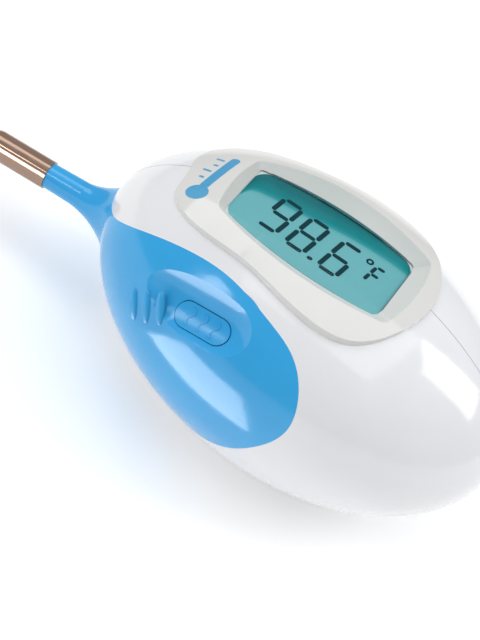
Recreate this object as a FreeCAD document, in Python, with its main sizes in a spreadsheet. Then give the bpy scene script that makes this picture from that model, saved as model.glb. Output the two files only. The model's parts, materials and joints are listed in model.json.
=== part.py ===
import FreeCAD, Part
import math
import os
import re
from FreeCAD import Placement, Rotation, Vector

# Digital thermometer with an egg-shaped body, built in millimetres.
# Body frame: nose of the egg at the origin, +X towards the blunt end, +Z up, left side at -Y.
# Finished pieces move by TO_ROW into the row frame: bottom centre of the whole object at the origin.

SIZES = {
    "body_length": 68.4, "nose_length": 34.7, "half_width": 22.6,
    "top_height": 18.7, "bottom_height": 21.9, "base_cut": 1.5,
    "shell_wall": 2.4, "skin_depth": 1.3, "fit_gap": 0.05, "base_wall": 2.2,
    "seam_gap": 0.12, "seam_depth": 0.5,
    "probe_height": -5.9, "probe_droop": 9.2, "neck_length": 10.5, "neck_radius": 2.0,
    "neck_end_radius": 2.15, "spigot_radius": 1.9, "spigot_length": 4.0,
    "tip_radius": 2.25, "tip_length": 11.5, "tip_wall": 0.25,
    "liner_radius": 1.5, "liner_bore": 1.0, "wire_radius": 0.22, "wire_spacing": 0.8, "bead_radius": 0.6,
    "cover_height": 18.8, "cover_half_width": 26.0, "cover_nose": 35.0, "cover_blunt": 43.7,
    "window_x": 28.1, "window_z": 15.8, "window_tilt": 5.0, "window_length": 26.0,
    "window_front": 11.4, "window_back": 13.2, "window_slope": 58.0, "window_bow": 1.4, "window_corner": 1.8,
    "thumb_x": 22.7, "thumb_z": 7.9, "thumb_tilt": 13.0,
    "dish_radius": 7.8, "dish_blunt": 8.6, "dish_nose": 26.0, "dish_lift": 6.2, "dish_wall": 1.3,
    "button_length": 9.0, "button_width": 4.0, "button_gap": 0.12, "button_travel": 0.5,
    "door_radius": 7.5, "door_thick": 1.4, "door_neck": 6.65, "lug_radius": 8.4,
    "cell_radius": 5.8, "cell_height": 5.4,
    "display_length": 27.0, "display_width": 15.6, "display_thick": 1.8,
    "skirt_length": 29.2, "skirt_width": 17.0,
    "rib_width": 0.7, "rib_height": 0.62, "rib_length": 2.4,
}

doc = FreeCAD.newDocument("DigitalThermometer")
sheet = doc.addObject("Spreadsheet::Sheet", "Sizes")
for row, (alias, value) in enumerate(SIZES.items(), start=1):
    sheet.set(f"A{row}", alias)
    sheet.set(f"B{row}", str(value))
    sheet.setAlias(f"B{row}", alias)
doc.recompute()

NODES = []


def size(alias):
    return float(getattr(sheet, alias))


def bind(item, **expressions):
    # Ties each named property to an expression written with the sheet's aliases.
    for prop, text in expressions.items():
        full = re.sub(r"[a-z]+_[a-z_]*[a-z]", lambda found: f"Sizes.{found.group()}", str(text))
        item.setExpression(prop.replace("__", "."), full)


def node(item, name):
    # Marks an object as a finished piece: its label is the piece's name.
    item.Label = name
    item.Placement = TO_ROW * item.Placement
    NODES.append(item)
    return item


def cut(name, base, *tools):
    tool = tools[0] if len(tools) == 1 else fuse(name + "Tools", *tools)
    item = doc.addObject("Part::Cut", name)
    item.Base = base
    item.Tool = tool
    return item


def fuse(name, *shapes):
    item = doc.addObject("Part::MultiFuse", name)
    item.Shapes = list(shapes)
    return item


def common(name, *shapes):
    # Space shared by all the shapes, taken two at a time.
    shared = shapes[0]
    for number, shape in enumerate(shapes[1:]):
        item = doc.addObject("Part::Common", f"{name}{number}")
        item.Base = shared
        item.Tool = shape
        shared = item
    return shared


def group(name, *links):
    item = doc.addObject("Part::Compound", name)
    item.Links = list(links)
    return item


def block(name, length, width, height, centre, frame=Placement()):
    # Box centred on a point of the given frame.
    item = doc.addObject("Part::Box", name)
    bind(item, Length=length, Width=width, Height=height)
    doc.recompute([item])
    half = Vector(item.Length.Value, item.Width.Value, item.Height.Value) * 0.5
    item.Placement = frame * Placement(Vector(*centre) - half, Rotation())
    return item


def rod(name, radius, length, start, direction=(0, 0, 1), frame=Placement()):
    # Cylinder from a start point along a direction of the given frame.
    item = doc.addObject("Part::Cylinder", name)
    bind(item, Radius=radius, Height=length)
    item.Placement = frame * Placement(Vector(*start), Rotation(Vector(0, 0, 1), Vector(*direction)))
    return item


def ball(name, radius, centre, frame=Placement()):
    item = doc.addObject("Part::Sphere", name)
    bind(item, Radius=radius)
    item.Placement = frame * Placement(Vector(*centre), Rotation())
    return item


def half_space(name, low, high):
    # Large axis-aligned block used to keep one side of a shape.
    corner = Vector(*low)
    span = Vector(*high) - corner
    item = doc.addObject("Part::Box", name)
    item.Length, item.Width, item.Height = span
    item.Placement = Placement(corner, Rotation())
    return item


def ovoid(name, nose, blunt, width, top, bottom, centre_x="nose_length"):
    # Egg made of four quarter ellipsoids that share one widest section.
    quarters = []
    for end, length in ((-1, nose), (1, blunt)):
        for side, height in ((-1, bottom), (1, top)):
            quarter = doc.addObject("Part::Ellipsoid", f"{name}Quarter{len(quarters)}")
            bind(quarter, Radius1=width, Radius2=length, Radius3=height)
            quarter.Angle1, quarter.Angle2, quarter.Angle3 = -90, 90, 90
            along, up, across = Vector(end, 0, 0), Vector(0, 0, side), Vector(0, -end * side, 0)
            quarter.Placement = Placement(Vector(size(centre_x), 0, 0), Rotation(along, up, across))
            quarters.append(quarter)
    return fuse(name, *quarters)


def egg(name, inset):
    return ovoid(name, f"nose_length - {inset}", f"body_length - nose_length - {inset}",
                 f"half_width - {inset}", f"top_height - {inset}", f"bottom_height - {inset}")


def plane_sketch(body, name, role, offset=Placement()):
    sketch = body.newObject("Sketcher::SketchObject", name)
    planes = [feature for feature in body.Origin.OriginFeatures if feature.Role == role]
    sketch.AttachmentSupport = [(planes[0], "")]
    sketch.MapMode = "FlatFace"
    sketch.AttachmentOffset = offset
    return sketch


def spline_pad(name, role, points, reach, closed=True, placement=Placement()):
    # Prism with a smooth outline, grown equally to both sides of its sketch plane.
    body = doc.addObject("PartDesign::Body", name)
    sketch = plane_sketch(body, name + "Outline", role)
    curve = Part.BSplineCurve()
    curve.interpolate(Points=[Vector(*point, 0) for point in points], PeriodicFlag=closed)
    sketch.addGeometry(curve, False)
    if not closed:
        sketch.addGeometry(Part.LineSegment(Vector(*points[-1], 0), Vector(*points[0], 0)), False)
    pad = body.newObject("PartDesign::Pad", name + "Pad")
    pad.Profile = sketch
    pad.Length = reach
    pad.Midplane = True
    body.Placement = placement
    return body


def oblong(name, length, width, low, high, frame, centre=(0, 0)):
    # Stadium-shaped prism between two heights of the given frame.
    body = doc.addObject("PartDesign::Body", name)
    sketch = plane_sketch(body, name + "Outline", "XY_Plane")
    reach = (length - width) / 2
    radius = width / 2
    top, bottom = Vector(0, radius, 0), Vector(0, -radius, 0)
    right, left = Vector(reach, 0, 0), Vector(-reach, 0, 0)
    sketch.addGeometry([
        Part.LineSegment(left + top, right + top),
        Part.Arc(right + top, Vector(reach + radius, 0, 0), right + bottom),
        Part.LineSegment(right + bottom, left + bottom),
        Part.Arc(left + bottom, Vector(-reach - radius, 0, 0), left + top)], False)
    pad = body.newObject("PartDesign::Pad", name + "Pad")
    pad.Profile = sketch
    pad.Length = high - low
    body.Placement = frame * Placement(Vector(*centre, low), Rotation())
    return body


# Frames ---------------------------------------------------------------------------------------

droop = math.radians(size("probe_droop"))
PROBE = Placement(Vector(0, 0, size("probe_height")), Rotation(Vector(0, 1, 0), -size("probe_droop")))
WINDOW = Placement(Vector(size("window_x"), 0, size("window_z")),
                   Rotation(Vector(0, 1, 0), -size("window_tilt")))

base_z = size("base_cut") - size("bottom_height")
tip_centre = size("neck_length") + size("tip_length") - size("tip_radius")
tip_x = -tip_centre * math.cos(droop) - size("tip_radius")
TO_ROW = Placement(Vector(-(tip_x + size("body_length")) / 2, 0, -base_z), Rotation())


def skin_point(x, z):
    # Point of the left side of the egg at a given x and height, with its outward normal.
    length = size("nose_length") if x < size("nose_length") else size("body_length") - size("nose_length")
    height = size("top_height") if z > 0 else size("bottom_height")
    along = (x - size("nose_length")) / length
    up = z / height
    y = -size("half_width") * math.sqrt(1 - along ** 2 - up ** 2)
    normal = Vector(along / length, y / size("half_width") ** 2, up / height)
    return Vector(x, y, z), normal.normalize()


def thumb_frame():
    # +Z out of the left side at the middle of the thumb dish, +X back along the grip.
    origin, normal = skin_point(size("thumb_x"), size("thumb_z"))
    tilt = math.radians(size("thumb_tilt"))
    back = Vector(math.cos(tilt), 0, math.sin(tilt))
    back = (back - normal * back.dot(normal)).normalize()
    return Placement(origin, Rotation(back, normal.cross(back), normal, "ZXY"))


THUMB = thumb_frame()

# Master shapes --------------------------------------------------------------------------------

egg_skin = egg("EggSkin", 0)
egg_seat = egg("EggSeat", "skin_depth")
egg_cavity = common("EggCavity", egg("EggInside", "shell_wall"),
                    half_space("AboveBaseWall", (0, -40, base_z + size("base_wall")), (80, 40, 40)))

# Side outline of the blue moulding: a leaf that starts as a band round the neck.
LEAF = [(-3, 0.9), (1.0, 1.0), (4.1, 3.6), (9.1, 7.7), (15.2, 10.9), (22.0, 12.7), (30.1, 12.6), (37.0, 10.6),
        (40.9, 4.2), (38.8, -2.8), (33.8, -10.0), (28.0, -13.9), (21.0, -15.1), (12.0, -13.7), (6.0, -12.5),
        (-3, -12.4)]
leaf = spline_pad("Leaf", "XZ_Plane", LEAF, 80, closed=False)

# Plan outline of the display cover, from its nose end to its blunt end.
COVER_STATIONS = [(8.3, 6.4), (12.5, 9.9), (21.4, 12.2), (33.5, 14.4), (40.8, 12.9), (44.9, 7.4)]
cover_outline = [(7.2, 0)] + COVER_STATIONS + [(46.5, 0)] + [(x, -y) for x, y in reversed(COVER_STATIONS)]
cover_prism = spline_pad("CoverPrism", "XY_Plane", cover_outline, 12,
                         placement=Placement(Vector(0, 0, 15), Rotation()))

# The neck grows out of the nose: rings of a trumpet whose planes turn to face the nose.
nose_turn = 15.0
flare_radius = 8.0
nose_curve = 13.8
flare_centre = size("neck_end_radius") + flare_radius
flare_rise = math.sqrt((nose_curve + flare_radius) ** 2 - flare_centre ** 2) - nose_curve
flare_rings = []
for step, angle in enumerate((0, 20, 38, 52, 62)):
    ring = doc.addObject("Part::Circle", f"FlareRing{step}")
    ring.Radius = flare_centre - flare_radius * math.cos(math.radians(angle))
    height = flare_rise - flare_radius * math.sin(math.radians(angle))
    turn = nose_turn * step / 4
    ring_x = 1.6 - height + 0.1 * step
    drop = math.tan(math.radians(turn)) * height * 0.3
    ring.Placement = PROBE * Placement(Vector(ring_x, 0, -drop), Rotation(Vector(0, 1, 0), 90 - turn))
    flare_rings.append(ring)
flare = doc.addObject("Part::Loft", "NeckFlare")
flare.Sections = flare_rings
flare.Solid = True
stem_start = -size("neck_length")
stem = doc.addObject("Part::Cone", "NeckStem")
bind(stem, Radius1="neck_radius", Radius2="neck_end_radius")
stem.Height = 1.6 - flare_rise - stem_start
stem.Placement = PROBE * Placement(Vector(stem_start, 0, 0), Rotation(Vector(0, 0, 1), Vector(1, 0, 0)))
spigot = rod("NeckSpigot", "spigot_radius", "spigot_length", (stem_start, 0, 0), (-1, 0, 0), PROBE)
liner_hole = rod("LinerHole", "liner_radius + fit_gap", 30, (stem_start - 10, 0, 0), (1, 0, 0), PROBE)

# Grip moulding --------------------------------------------------------------------------------


def thumb_scoop(name, grow):
    # Long ovoid lying over the thumb dish, deepest near its blunt end.
    middle = THUMB * Placement(Vector(2.85, 0.35, size("dish_lift")), Rotation(Vector(0, 1, 0), -4))
    halves = []
    for end, length in ((-1, "dish_nose"), (1, "dish_blunt")):
        half = doc.addObject("Part::Ellipsoid", f"{name}Half{len(halves)}")
        bind(half, Radius1=f"{length} + {grow}", Radius2=f"dish_radius + {grow}",
             Radius3=f"dish_radius + {grow}")
        half.Angle1, half.Angle2, half.Angle3 = 0, 90, 360
        along, out = Vector(end, 0, 0), Vector(0, 0, 1)
        half.Placement = middle * Placement(Vector(), Rotation(out, Vector(0, -end, 0), along))
        halves.append(half)
    return fuse(name, *halves)


def mirrored(name, source):
    item = doc.addObject("Part::Mirroring", name)
    item.Source = source
    item.Normal = Vector(0, 1, 0)
    return item


dish = thumb_scoop("Dish", "0")
near_thumb = half_space("NearThumb", (8, -40, -6), (34, -9, 30))
dish_back = common("DishBack", thumb_scoop("DishBackScoop", "dish_wall"), egg_skin, near_thumb)
dish_room = common("DishRoom", thumb_scoop("DishRoomScoop", "dish_wall + fit_gap"), egg_skin, near_thumb)

grip_skin = cut("GripSkin", common("GripLeaf", egg_skin, leaf), egg_seat)
grip_whole = fuse("GripWhole", grip_skin, flare, stem, spigot, dish_back, mirrored("DishBackFar", dish_back))
BUTTON_AT = (-0.5, -0.95)
button_hole = oblong("ButtonHole", size("button_length"), size("button_width"), -5, 3, THUMB, BUTTON_AT)
ribs = []
for step in range(3):
    rib = doc.addObject("Part::Ellipsoid", f"GripRib{step}")
    bind(rib, Radius1="rib_height", Radius2="rib_width", Radius3="rib_length")
    rib_point, rib_normal = skin_point(13.2 + 1.75 * step, 0.2 + 1.9 * step)
    lean = Vector(0.62, 0, -0.78)
    lean = (lean - rib_normal * lean.dot(rib_normal)).normalize()
    rib.Placement = Placement(rib_point, Rotation(lean.cross(rib_normal), lean, rib_normal, "ZYX"))
    ribs.append(rib)
rib_set = fuse("GripRibs", *ribs)
grip_dished = cut("GripDished", grip_whole, dish, mirrored("DishFar", dish))
grip_ribbed = fuse("GripRibbed", grip_dished, rib_set, mirrored("GripRibsFar", rib_set))
grip = cut("GripMoulding", grip_ribbed, liner_hole, button_hole)
node(grip, "grip_moulding")

# Case shells ----------------------------------------------------------------------------------

below_base = half_space("BelowBase", (-10, -40, -40), (80, 40, base_z))
display_opening = block("DisplayOpening", "skirt_length + 0.2", "skirt_width + 0.2", 14, (0, 0, 0), WINDOW)
outer_layer = cut("OuterLayer", egg_skin, leaf, cover_prism)
shell_whole = cut("ShellWhole", fuse("ShellLayers", outer_layer, egg_seat), egg_cavity, flare, stem, dish_room,
                  mirrored("DishRoomFar", dish_room), display_opening, liner_hole, below_base)

DOOR_X = size("nose_length")
door_hole = rod("DoorHole", "door_radius + 2*fit_gap", 6, (DOOR_X, 0, base_z - 1))
lug_top = base_z + size("base_wall")
cup_seat = rod("CupSeat", 9.65, 2.05, (DOOR_X, 0, lug_top))
entry_notch = block("EntryNotch", "2*lug_radius + 0.4", 3.6, 6, (DOOR_X, 0, base_z + 3))
notch_floor = half_space("NotchFloor", (0, -20, base_z + size("door_thick")), (80, 20, 0))
notches = common("EntryNotches", entry_notch, notch_floor)

SCREW_SPOTS = [(50.5, 6.0), (50.5, -8.0)]
SEAT_Y = 11.0
right_bosses, left_bosses, screw_holes, pilot_holes, screws = [], [], [], [], []
for index, (x, z) in enumerate(SCREW_SPOTS):
    right_bosses.append(rod(f"RightBoss{index}", 3.0, 20, (x, 0, z), (0, 1, 0)))
    left_bosses.append(rod(f"LeftBoss{index}", 2.6, 20, (x, 0, z), (0, -1, 0)))
    screw_holes.append(rod(f"HeadHole{index}", 2.0, 12, (x, SEAT_Y, z), (0, 1, 0)))
    screw_holes.append(rod(f"ShankHole{index}", 1.1, SEAT_Y, (x, 0, z), (0, 1, 0)))
    pilot_holes.append(rod(f"PilotHole{index}", 0.95, 6.5, (x, 0, z), (0, -1, 0)))
    head = rod(f"ScrewHead{index}", 1.85, 1.3, (x, SEAT_Y, z), (0, 1, 0))
    shank = rod(f"ScrewShank{index}", 0.9, SEAT_Y + 6, (x, -6, z), (0, 1, 0))
    cross = [block(f"CrossSlot{index}{arm}", *span, (x, SEAT_Y + 1.3, z))
             for arm, span in enumerate(((2.2, 1.2, 0.5), (0.5, 1.2, 2.2)))]
    screws.append(cut(f"Screw{index}", fuse(f"ScrewBlank{index}", head, shank), *cross))
node(group("CaseScrews", *screws), "case_screws")

seam_slab = half_space("SeamSlab", (-5, -size("seam_gap") / 2, -40), (80, size("seam_gap") / 2, 40))
seam_ring = cut("SeamRing", seam_slab, egg("SeamCore", "seam_depth"))
left_side = half_space("LeftSide", (-10, -40, -40), (80, 0, 40))
right_side = half_space("RightSide", (-10, 0, -40), (80, 40, 40))
left_blank = fuse("LeftBlank", common("LeftHalf", shell_whole, left_side),
                  common("LeftBossStack", fuse("LeftBossPair", *left_bosses), egg_seat, left_side))
right_blank = fuse("RightBlank", common("RightHalf", shell_whole, right_side),
                   common("RightBossStack", fuse("RightBossPair", *right_bosses), egg_seat, right_side))
key_room = oblong("KeyRoom", size("button_length") + 2.6, size("button_width") + 2.8, -14, -2, THUMB, BUTTON_AT)
node(cut("LeftShell", left_blank, seam_ring, door_hole, cup_seat, notches, key_room, *pilot_holes),
     "left_case_shell")
node(cut("RightShell", right_blank, seam_ring, door_hole, cup_seat, notches, *screw_holes), "right_case_shell")

# Display --------------------------------------------------------------------------------------

cover_top = ovoid("CoverTop", "cover_nose", "cover_blunt", "cover_half_width", "cover_height", "bottom_height")
cover_plate = cut("CoverPlate", common("CoverSlab", cover_prism, cover_top), egg_seat)
SKIRT_BASE = -0.6
skirt_block = block("SkirtBlock", "skirt_length", "skirt_width", 8, (0, 0, 4 + SKIRT_BASE), WINDOW)
skirt = common("CoverSkirt", skirt_block, cover_top)


def window_prism(name, inset, low, high, slope):
    # Window shape at the display plane, with bowed long sides, widening upwards by its slope.
    body = doc.addObject("PartDesign::Body", name)
    sketch = plane_sketch(body, name + "Outline", "XY_Plane")
    half = size("window_length") / 2 - inset
    front = size("window_front") / 2 - inset
    back = size("window_back") / 2 - inset
    middle = (front + back) / 2 + size("window_bow")
    front_left, front_right = Vector(-half, -front, 0), Vector(-half, front, 0)
    back_left, back_right = Vector(half, -back, 0), Vector(half, back, 0)
    sketch.addGeometry([
        Part.LineSegment(front_right, front_left),
        Part.Arc(front_left, Vector(0, -middle, 0), back_left),
        Part.LineSegment(back_left, back_right),
        Part.Arc(back_right, Vector(0, middle, 0), front_right)], False)
    pad = body.newObject("PartDesign::Pad", name + "Pad")
    pad.Profile = sketch
    pad.Length = high - low
    pad.TaperAngle = slope
    doc.recompute([body, sketch, pad])
    corners = [f"Edge{number}" for number, edge in enumerate(pad.Shape.Edges, start=1)
               if edge.BoundBox.ZLength > 0.5 * (high - low)]
    rounding = body.newObject("PartDesign::Fillet", name + "Corners")
    rounding.Base = (pad, corners)
    rounding.Radius = size("window_corner")
    body.Placement = WINDOW * Placement(Vector(0, 0, low), Rotation())
    return body


WINDOW_BASE = -0.62
window_cutter = window_prism("WindowCutter", 0, WINDOW_BASE, 5.0, size("window_slope"))
gasket_pocket = block("GasketPocket", "display_length + 0.4", "display_width + 0.4", 8,
                      (0, 0, SKIRT_BASE - 4), WINDOW)
holder_pocket = block("HolderPocket", "skirt_length", "skirt_width - 0.2", 8,
                      (0, 0, SKIRT_BASE - 4.9), WINDOW)
cover_blank = fuse("CoverBlank", cover_plate, skirt)
cover = cut("DisplayCover", cover_blank, window_cutter, gasket_pocket, holder_pocket, leaf)
node(cover, "display_cover")

lens = common("LensBlank", window_prism("LensPrism", 0.04, WINDOW_BASE, 5.0, size("window_slope")), cover_top)
node(lens, "display_lens")

GASKET_THICK = 0.3
gasket_at = (0, 0, SKIRT_BASE - GASKET_THICK / 2)
gasket_blank = block("GasketBlank", "display_length", "display_width", GASKET_THICK, gasket_at, WINDOW)
gasket_hole = block("GasketOpening", "display_length - 0.6", "display_width - 0.4", 1, gasket_at, WINDOW)
gasket = cut("LensGasket", gasket_blank, gasket_hole)
node(gasket, "lens_gasket")
lcd_top = SKIRT_BASE - GASKET_THICK
lcd_base = lcd_top - size("display_thick")
lcd_at = (0, 0, (lcd_top + lcd_base) / 2)
node(block("LcdCell", "display_length", "display_width", "display_thick", lcd_at, WINDOW), "lcd_cell")
node(block("GuideBlock", 25.0, 12.0, 1.2, (0, 0, lcd_base - 0.65), WINDOW), "light_guide")
strips = [block(f"Strip{side}", 25.0, 1.2, 2.85, (0, 6.75 * side, lcd_base - 1.45), WINDOW)
          for side in (-1, 1)]
node(group("ElastomerStrips", *strips), "elastomer_connectors")
holder_at = (0, 0, lcd_base - 0.35)
holder_blank = block("HolderBlank", "display_length + 1.4", "display_width + 1.0", 2.9, holder_at, WINDOW)
holder_room = block("HolderRoom", "display_length + 0.1", "display_width + 0.1", 8, holder_at, WINDOW)
node(cut("DisplayHolder", holder_blank, holder_room), "display_holder")

# Electronics ----------------------------------------------------------------------------------

BOARD_TOP, BOARD_THICK = -5.6, 1.0
board_under = BOARD_TOP - BOARD_THICK
node(block("MainBoard", 32, 19, BOARD_THICK, (1, 0, BOARD_TOP - BOARD_THICK / 2), WINDOW), "main_board")
node(block("GuideLamp", 2.0, 3.0, 1.5, (12.2, 0, BOARD_TOP + 0.8), WINDOW), "guide_lamp")
chip_blob = rod("ChipBlob", 3.4, 0.6, (-5, 0, board_under), (0, 0, -1), WINDOW)
chip_crown = rod("ChipCrown", 2.6, 0.4, (-5, 0, board_under - 0.6), (0, 0, -1), WINDOW)
node(fuse("ControllerChip", chip_blob, chip_crown), "controller_chip")
node(rod("Buzzer", 5.2, 2.2, (6.5, 0, board_under), (0, 0, -1), WINDOW), "buzzer")
node(rod("Crystal", 0.9, 4.6, (-12.5, 6.5, board_under - 0.9), (1, 0, 0), WINDOW), "crystal_can")
chips = [block(f"ChipPart{number}", 1.6, 0.8, 0.5, (-11 + 2.6 * number, -7.2, board_under - 0.25), WINDOW)
         for number in range(5)]
node(group("ChipParts", *chips), "chip_parts")

# Battery bay ----------------------------------------------------------------------------------

bay_floor = lug_top + 1.2
cell_base = bay_floor + 0.2
cell_top = cell_base + size("cell_height")
cup_skirt = cut("CupSkirt", rod("CupSkirtOuter", 9.6, 1.2, (DOOR_X, 0, lug_top)),
                rod("CupSkirtRoom", 8.8, 1.2, (DOOR_X, 0, lug_top)))
cup_flange = rod("CupFlange", 9.6, 0.8, (DOOR_X, 0, bay_floor))
cup_wall = rod("CupWall", 7.1, cell_top + 1.6 - bay_floor, (DOOR_X, 0, bay_floor))
cup_room = rod("CupRoom", "cell_radius + 0.15", cell_top + 0.5 - bay_floor, (DOOR_X, 0, bay_floor))
riser_slot = block("RiserSlot", 3.4, 2.6, 3, (DOOR_X + 7.3, 0, bay_floor + 0.4))
crown_slot = block("CrownSlot", 2.6, 3.0, 0.5, (DOOR_X, 6.5, cell_top + 0.25))
node(cut("BatteryCup", fuse("CupBlank", cup_skirt, cup_flange, cup_wall), cup_room, riser_slot, crown_slot),
     "battery_cup")
node(rod("ButtonCell", "cell_radius", "cell_height", (DOOR_X, 0, cell_base)), "button_cell")


def contact(name, leaf_size, leaf_centre, riser_size, x, y, foot):
    # Spring leaf on the cell with a riser soldered through the main board.
    under = (WINDOW * Vector(x - size("window_x"), 0, BOARD_TOP - BOARD_THICK / 2)).z
    leaf_part = block(name + "Leaf", *leaf_size, leaf_centre)
    riser = block(name + "Riser", *riser_size, under - foot, (x, y, (under + foot) / 2))
    return node(fuse(name, leaf_part, riser), name)


contact("battery_contact_minus", (12.9, 2.0, 0.15), (DOOR_X + 1.45, 0, bay_floor + 0.1), (0.2, 2.0),
        DOOR_X + 7.8, 0, bay_floor + 0.03)
contact("battery_contact_plus", (2.0, 9.0, 0.15), (DOOR_X, 3.4, cell_top + 0.1), (2.0, 0.2),
        DOOR_X, 7.8, cell_top + 0.03)

door_disc = rod("DoorDisc", "door_radius", "door_thick", (DOOR_X, 0, base_z))
door_neck = rod("DoorNeck", "door_neck", 2.95, (DOOR_X, 0, base_z))
lug_turn = Placement(Vector(DOOR_X, 0, base_z + 2.6), Rotation(Vector(0, 0, 1), 60))
door_lugs = common("DoorLugs", block("LugBar", 20, 3.0, 0.7, (0, 0, 0), lug_turn),
                   rod("LugReach", "lug_radius", 4, (DOOR_X, 0, base_z)))
coin_slot = block("CoinSlot", 10.5, 1.5, 1.6, (DOOR_X, 0, base_z))
node(cut("BatteryDoor", fuse("DoorBlank", door_disc, door_neck, door_lugs), coin_slot), "battery_door")
seal = doc.addObject("Part::Torus", "DoorSeal")
bind(seal, Radius1="door_neck + 0.45", Radius2="0.38")
seal.Placement = Placement(Vector(DOOR_X, 0, base_z + 1.79), Rotation())
node(seal, "door_seal")

# Power button and switch ----------------------------------------------------------------------

KEY = THUMB * Placement(Vector(*BUTTON_AT, 0), Rotation())
FLANGE_TOP, FLANGE_THICK = -3.2, 0.75
stem_length = size("button_length") - 2 * size("button_gap")
stem_width = size("button_width") - 2 * size("button_gap")
key_stem = oblong("KeyStem", stem_length, stem_width, FLANGE_TOP - FLANGE_THICK, 3, KEY)
flange_base = FLANGE_TOP - FLANGE_THICK
key_flange = oblong("KeyFlange", stem_length + 1.4, stem_width + 1.4, flange_base, FLANGE_TOP, KEY)
key_blank = cut("KeyBlank", fuse("KeyBlankParts", key_stem, key_flange), thumb_scoop("KeyFace", "(-0.15)"))


def wave_points(steps=6, half_length=1.25, swing=0.42, half_width=0.17):
    # Closed outline of a band that follows one period of a sine wave.
    points = []
    for way in (1, -1):
        for step in range(steps + 1):
            across = way * (2 * step / steps - 1) * half_length
            points.append((swing * math.sin(math.pi * across / half_length) - way * half_width, across))
    return points


wave_ridges = []
for number, at in enumerate((-2.0, 0.0, 2.0)):
    wave_ridges.append(spline_pad(f"Wave{number}", "XY_Plane", wave_points(), 4,
                                  placement=KEY * Placement(Vector(at, 0, -0.6), Rotation())))
wave_relief = cut("WaveRelief", fuse("WaveRidges", *wave_ridges), thumb_scoop("WaveFace", "(-0.27)"))
node(fuse("PowerButton", key_blank, wave_relief), "power_button")

plunger_top = FLANGE_TOP - FLANGE_THICK - 0.03
housing_top = plunger_top - size("button_travel") - 0.2
housing_height = 3.2
plunger_room = rod("PlungerRoom", 1.6, 2.2, (0, 0, housing_top + 0.1), (0, 0, -1), KEY)
housing = block("SwitchHousing", 6.0, 6.0, housing_height, (0, 0, housing_top - housing_height / 2), KEY)
node(cut("SwitchHousingBored", housing, plunger_room), "switch_housing")
node(rod("SwitchPlunger", 1.5, 2.1, (0, 0, plunger_top), (0, 0, -1), KEY), "switch_plunger")
switch_board_top = housing_top - housing_height
node(block("SwitchBoard", 10, 9, 0.9, (0, 0.6, switch_board_top - 0.45), KEY), "switch_board")
pin_at = [(-1.0, 4.0, switch_board_top - 0.45), (1.0, 4.0, switch_board_top - 0.45)]
pins = [rod(f"BoardPin{number}", 0.3, 4.1, at, (0, 1, 0), KEY) for number, at in enumerate(pin_at)]
node(group("BoardPins", *pins), "board_pins")

# Probe ----------------------------------------------------------------------------------------

bead_x = -tip_centre
spigot_end = stem_start - size("spigot_length")


def bullet(name, radius, start):
    # Rod towards the patient with a round end centred on the sensor bead.
    stick = rod(name + "Rod", radius, start - bead_x, (start, 0, 0), (-1, 0, 0), PROBE)
    return fuse(name, stick, ball(name + "End", radius, (bead_x, 0, 0), PROBE))


tip_room = bullet("TipRoom", "tip_radius - tip_wall", stem_start)
node(cut("ProbeTip", bullet("TipShell", "tip_radius", stem_start), tip_room), "probe_tip")
liner_start = spigot_end - 0.5
node(cut("NeckLiner", rod("LinerTube", "liner_radius", 6 - liner_start, (liner_start, 0, 0), (1, 0, 0), PROBE),
         rod("LinerBore", "liner_bore", 30, (liner_start - 5, 0, 0), (1, 0, 0), PROBE)), "neck_liner")
bead = ball("SensorBead", "bead_radius", (bead_x, 0, 0), PROBE)
node(bead, "sensor_bead")


def sensor_wire(name, y):
    # One lead: straight along the probe, then one bend up to the main board.
    path = doc.addObject("Sketcher::SketchObject", name + "Path")
    bend, run, rise = 5.0, 11.6, 12.1
    begin = Vector(bead_x + 0.45, 0, 0)
    corner = Vector(run, 0, 0)
    middle = Vector(run + bend * math.sin(math.pi / 4), bend * (1 - math.cos(math.pi / 4)), 0)
    path.addGeometry([
        Part.LineSegment(begin, corner),
        Part.Arc(corner, middle, Vector(run + bend, bend, 0)),
        Part.LineSegment(Vector(run + bend, bend, 0), Vector(run + bend, rise, 0))], False)
    upright = Rotation(Vector(1, 0, 0), 90)
    path.Placement = PROBE * Placement(Vector(0, y, 0), upright)
    section = doc.addObject("Part::Circle", name + "Section")
    bind(section, Radius="wire_radius")
    section.Placement = PROBE * Placement(Vector(begin.x, y, 0), Rotation(Vector(0, 1, 0), 90))
    sweep = doc.addObject("Part::Sweep", name)
    sweep.Sections = [section]
    sweep.Spine = (path, ["Edge1", "Edge2", "Edge3"])
    sweep.Solid = True
    return sweep


wires = [sensor_wire(f"SensorWire{side + 1}", side * size("wire_spacing") / 2) for side in (-1, 1)]
wire_pair = group("SensorWires", *wires)
node(wire_pair, "sensor_wires")
filler = bullet("FillerBlank", "tip_radius - tip_wall - fit_gap", liner_start - size("fit_gap"))
lead_room = block("LeadRoom", 8, 1.4, 0.6, (bead_x + 4, 0, 0), PROBE)
bead_room = ball("BeadRoom", "bead_radius + 0.02", (bead_x, 0, 0), PROBE)
node(cut("TipFiller", filler, lead_room, bead_room), "tip_filler")

doc.recompute()
broken = [item.Name for item in doc.Objects
          if "Invalid" in item.State or "Error" in item.State]
broken += [item.Label for item in NODES if item.Shape.isNull() or not item.Shape.isValid()]
if broken:
    raise RuntimeError(f"failed objects: {broken}")
os.makedirs("parts", exist_ok=True)
for item in NODES:
    item.Shape.exportStep(f"parts/{item.Label}.step")
    print(item.Label, len(item.Shape.Solids), round(item.Shape.Volume, 2))
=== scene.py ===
import json
import math

import bmesh
import bpy
from mathutils import Matrix, Vector
from mathutils.bvhtree import BVHTree


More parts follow.
